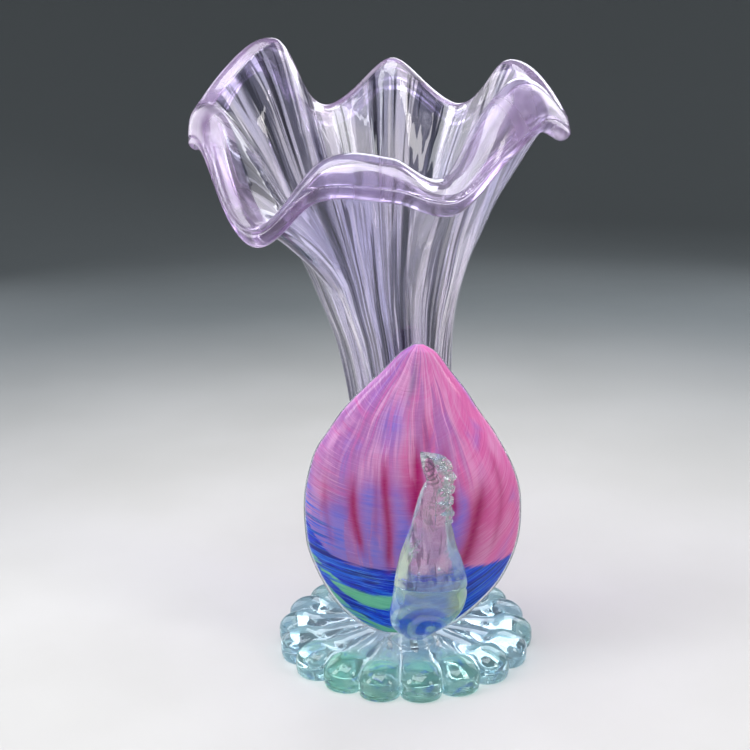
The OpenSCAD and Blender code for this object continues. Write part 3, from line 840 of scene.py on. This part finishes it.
def foot_material():
    """Clear glass with pale bars painted along the notches as a reflection of the sky, and aqua and blue
    caught in some lobes.
    """
    m = Nodes("foot_aqua_glass")
    aqua, fleck = m.value("aqua"), m.noise(m.place(), 260, 3, 0.6, 0.8)
    drift = m.noise(m.place(), 60, 3)
    window = m.mix(m.spread(drift, 0.35, 0.7), srgb(194, 212, 222), srgb(164, 190, 208))
    # Painted reflection of the sky: the tint turns near white along the notches.
    tint = m.mix(m.spread(m.value("sky_reflection"), 0.35, 0.62), window, srgb(248, 254, 255))
    tint = m.mix(aqua, tint, m.mix(m.spread(fleck, 0.4, 0.6), srgb(112, 204, 172), srgb(150, 224, 184)))
    blue = m.math("MULTIPLY", m.spread(m.noise(m.place(), 140, 4, 0.6, 1.5), 0.56, 0.62), aqua)
    m.set(colour=m.mix(m.math("MULTIPLY", blue, 0.85), tint, srgb(48, 100, 220)), clear=0.88, ior=1.46,
          rough=m.spread(fleck, 0.4, 0.8, 0.0, 0.05))
    m.ripple(m.noise(m.place(), 170, 3, 0.5), 0.03, 0.0006)
    m.let_lamps_through(srgb(226, 236, 236))
    return m


def lip_material():
    """Milky lilac glass in drawn-out clouds and threads."""
    m = Nodes("lip_milky_glass")
    swirl = m.noise(m.flow((16, 1.6, 1)), 1.0, 3, 0.5, 0.9)
    thread = m.noise(m.flow((70, 5, 1)), 1.0, 3, 0.5, 0.6)
    cloud = m.spread(swirl, 0.40, 0.66)
    milk = m.mix(cloud, srgb(212, 202, 224), srgb(186, 166, 198))
    milk = m.mix(m.math("MULTIPLY", m.spread(thread, 0.52, 0.7), 0.5), milk, srgb(232, 226, 240))
    m.set(colour=milk, clear=0.93, ior=1.48, rough=m.math("MULTIPLY_ADD", cloud, 0.22, 0.08),
          coat=0.2, coat_rough=0.03)
    m.ripple(m.noise(m.place(), 120, 2, 0.4), 0.16, 0.0006)
    m.let_lamps_through(srgb(222, 212, 226))
    return m


def bulb_material():
    """The bird's lower bulb: pale aqua glass with a swirl of blue and a lime cheek."""
    m = Nodes("bird_bulb_glass")
    arcs = m.rings((0.0070, 0.0180), 66, 3.0)
    cloud = m.noise(m.place((1, 1, 1.6)), 150, 3, 0.5, 1.6)
    low = m.value("low")
    tint = m.mix(m.spread(cloud, 0.35, 0.65), srgb(190, 218, 212), srgb(160, 200, 214))
    blue = m.math("MULTIPLY", low, m.spread(arcs, 0.44, 0.60))
    tint = m.mix(m.math("MULTIPLY", blue, 0.92), tint, srgb(20, 84, 222))
    pale = m.math("MULTIPLY", low, m.spread(arcs, 0.26, 0.10))
    tint = m.mix(m.math("MULTIPLY", pale, 0.7), tint, srgb(200, 222, 240))
    tint = m.mix(m.math("MULTIPLY", m.value("lime"), 0.85), tint, srgb(186, 214, 140))
    m.set(colour=tint, clear=0.70, ior=1.46, rough=m.spread(cloud, 0.4, 0.8, 0.02, 0.07),
          coat=0.6, coat_rough=0.02)
    m.ripple(m.math("ADD", arcs, cloud), 0.10, 0.0006)
    m.let_lamps_through(srgb(232, 240, 246))
    return m


def bird_material():
    """The neck and head: clear glass with pull lines, blue dashes at the waist, arcs in the head."""
    m = Nodes("bird_clear_glass")
    swirl = m.noise(m.place((1, 1, 0.5)), 90, 3, 0.5, 2.2)
    lines = m.noise(m.place((1, 1, 0.16)), 330, 3, 0.6, 1.3)
    dashes = m.noise(m.place((1, 1, 0.35)), 520, 2, 0.5, 0.8)
    tint = m.mix(m.spread(swirl, 0.42, 0.58), srgb(255, 252, 255), srgb(214, 208, 228))
    tint = m.mix(m.math("MULTIPLY", m.value("lime"), 0.4), tint, srgb(214, 232, 186))
    tint = m.mix(m.math("MULTIPLY", m.spread(lines, 0.41, 0.37), 0.75), tint, srgb(104, 92, 118))
    tint = m.mix(m.math("MULTIPLY", m.spread(lines, 0.58, 0.62), 0.8), tint, srgb(236, 248, 250))
    dash = m.math("MULTIPLY", m.value("waist"), m.spread(dashes, 0.47, 0.52))
    tint = m.mix(m.math("MULTIPLY", dash, 0.9), tint, srgb(24, 74, 210))
    arc = m.math("MULTIPLY", m.value("head"), m.spread(m.rings((0.0062, 0.0675), 230, 1.6), 0.52, 0.74))
    tint = m.mix(m.math("MULTIPLY", arc, 0.7), tint, srgb(84, 98, 104))
    m.set(colour=tint, clear=0.86, ior=1.5, rough=m.spread(swirl, 0.4, 0.8, 0.0, 0.03))
    m.ripple(m.math("ADD", lines, swirl), 0.28, 0.0009)
    m.let_lamps_through(srgb(238, 242, 246))
    return m


def fused_material():
    """A face inside glass that was fused hot: nothing bends there, only a breath of haze."""
    m = Nodes("fused_joint")
    out = next(n for n in m.tree.nodes if n.type == "OUTPUT_MATERIAL")
    clear = m.add("ShaderNodeBsdfTransparent")
    haze = m.spread(m.noise(m.place(), 300, 3), 0.3, 0.7)
    m.link(m.mix(haze, srgb(255, 255, 255), srgb(248, 250, 252)), clear.inputs["Color"])
    m.link(clear.outputs[0], out.inputs["Surface"])
    return m


def crest_material():
    """Clear glass full of fine bubbles."""
    m = Nodes("crest_bubbly_glass")
    cells = m.add("ShaderNodeTexVoronoi")
    cells.inputs["Scale"].default_value = 700
    m.link(m.place(), cells.inputs["Vector"])
    bubbles = m.spread(cells.outputs["Distance"], 0.1, 0.5)
    m.set(colour=m.mix(bubbles, srgb(206, 224, 216), srgb(246, 250, 248)), clear=0.86, ior=1.48,
          rough=m.spread(bubbles, 0, 1, 0.10, 0.02))
    m.ripple(bubbles, 0.45, 0.0006)
    m.let_lamps_through(srgb(238, 242, 240))
    return m


# ---------------------------------------------------------------- the scene

def stand_for(piece, node, material, extra=None):
    """Put the piece in place of its CAD node, with its material and an extra one in slot 1."""
    piece.data.materials.append(material.material)
    if extra is not None:
        piece.data.materials.append(extra.material)
    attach(piece, ROOT)
    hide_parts(node)


def build_vase():
    """Every piece of the vase, in place of its CAD node."""
    plain = clear_glass("plain_clear_glass", srgb(253, 254, 255), srgb(244, 250, 252), 90,
                        srgb(236, 240, 242), 0.02)
    casing = clear_glass("casing_clear_glass", srgb(252, 254, 254), srgb(240, 250, 250), 60,
                         srgb(240, 244, 246), 0.05)
    casing.set(clear=0.8)
    lip, fused = lip_material(), fused_material()
    body, neck, crest = bird_meshes()
    stand_for(lip_mesh(), "lip_wrap", lip)
    stand_for(tail_core_mesh(), "tail_core", tail_material())
    stand_for(tail_casing_mesh(), "tail_casing", casing)
    for (piece, slots), node, slot, glass, other in (
            (trumpet_mesh(), "trumpet", "trumpet_glass", trumpet_material(), lip),
            (foot_mesh(("joining_disc", "joining_bit")), "foot", "foot_glass", foot_material(), fused),
            (round_mesh("joining_disc_glass", "joining_disc", 0.93, 0.01), "joining_disc",
             "clear_glass", plain, fused),
            (round_mesh("joining_bit_glass", "joining_bit", 0.78, 0.03), "joining_bit",
             "clear_glass", plain, fused),
            (body, "bird_body", "bird_glass", bulb_material(), fused),
            (neck, "bird_neck", "bird_glass", bird_material(), fused),
            (crest, "bird_crest", "crest_glass", crest_material(), fused)):
        stand_for(piece, node, glass, other)
        piece.data.polygons.foreach_set("material_index", slots)


def build_floor():
    """A round studio sweep with a painted pool of light: pale where the vase stands, painted darker grey
    further out and as it curves up all round.
    """
    n = 128
    a = np.arange(n) * 2 * np.pi / n
    flat, curve, top = 700, 450, 1300
    b = np.radians(np.linspace(0, 90, 25))[1:]
    profile = [(r, 0) for r in (60, 120, 180, 240, 300, 375, 450, 570, flat)]
    profile += list(zip(flat + curve * np.sin(b), curve * (1 - np.cos(b)))) + [(flat + curve, top)]
    rings = [np.stack([r * np.sin(a), -r * np.cos(a), np.full(n, z - 0.02)], 1) for r, z in profile]
    faces = grid(rings, caps=False) + [tuple(range(n))]
    floor = make("floor", np.vstack(rings), [tuple(reversed(f)) for f in faces[:-1]] + faces[-1:])
    m = Nodes("pale_floor")
    grain = m.noise(m.place(), 9, 4, 0.5)
    ground = m.add("ShaderNodeVectorMath", operation="LENGTH")
    m.link(m.place((1, 1, 0)), ground.inputs[0])
    # Painted pool of light: the colour darkens from 0.10 to 0.52 m out from the vase, in place of the
    # lamps' falloff.
    far = m.spread(ground.outputs["Value"], 0.10, 0.52)
    pale = m.mix(m.spread(grain, 0.3, 0.7), srgb(184, 183, 180), srgb(192, 191, 189))
    m.set(colour=m.mix(far, pale, srgb(112, 118, 120)), rough=m.spread(grain, 0.3, 0.7, 0.55, 0.7),
          shine=0.3)
    floor.data.materials.append(m.material)


def aim(obj, at, target):
    """Place a light so that it faces a point."""
    obj.location = at
    obj.rotation_euler = (Vector(target) - Vector(at)).to_track_quat("-Z", "Y").to_euler()


def soft_box(name, at, target, size, power, colour):
    """A rectangular light, hidden from the camera. Size in metres, power in watts."""
    data = bpy.data.lights.new(name, "AREA")
    data.shape = "RECTANGLE"
    data.size, data.size_y = size
    data.energy = power
    data.color = colour
    obj = bpy.data.objects.new(name, data)
    bpy.context.scene.collection.objects.link(obj)
    obj.visible_camera = False
    aim(obj, at, target)


def build_light(height):
    """A dim even sky and six soft boxes, all facing the middle of the vase."""
    world = bpy.data.worlds.new("studio")
    bpy.context.scene.world = world
    world.use_nodes = True
    world.node_tree.nodes["Background"].inputs["Color"].default_value = (0.80, 0.86, 0.95, 1)
    world.node_tree.nodes["Background"].inputs["Strength"].default_value = 0.16
    middle = (0, 0, height / 2)
    soft_box("top_box", (-0.06, -0.10, 0.52), middle, (0.42, 0.36), 3.4, (0.96, 0.97, 1.0))
    soft_box("left_box", (-0.55, -0.22, 0.42), middle, (0.22, 0.4), 2.1, (0.95, 0.97, 1.0))
    soft_box("right_box", (0.52, -0.36, 0.38), middle, (0.16, 0.4), 1.8, (1.0, 0.97, 0.94))
    for name, x in (("left_panel", -0.40), ("right_panel", 0.40)):
        soft_box(name, (x, 0.42, 0.28), middle, (0.30, 0.46), 0.8, (0.96, 0.95, 1.0))
    soft_box("back_box", (0.16, 0.55, 0.42), middle, (0.45, 0.3), 1.6, (0.93, 0.95, 1.0))


def build_camera():
    """The photograph's view: its place, direction and lens."""
    pitch, yaw, roll = (math.radians(v) for v in (15.13, -1.30, -0.70))
    ahead = Vector((math.sin(yaw), math.cos(yaw), 0))
    right = Vector((math.cos(yaw), -math.sin(yaw), 0))
    look = ahead * math.cos(pitch) + Vector((0, 0, -math.sin(pitch)))
    up = right.cross(look)
    side = right * math.cos(roll) + up * math.sin(roll)
    top = up * math.cos(roll) - right * math.sin(roll)
    data = bpy.data.cameras.new("camera")
    data.sensor_width = 36
    data.lens = 62.4
    data.clip_start, data.clip_end = 0.01, 200
    obj = bpy.data.objects.new("camera", data)
    bpy.context.scene.collection.objects.link(obj)
    turn = Matrix((side, top, -look)).transposed().to_4x4()
    obj.matrix_world = Matrix.Translation((0, -0.3685, 0.1853)) @ turn
    bpy.context.scene.camera = obj


build_vase()
build_floor()
build_light(CAD_BOX[1][2])
build_camera()
bpy.context.scene.view_settings.view_transform = "Standard"
bpy.context.view_layer.update()
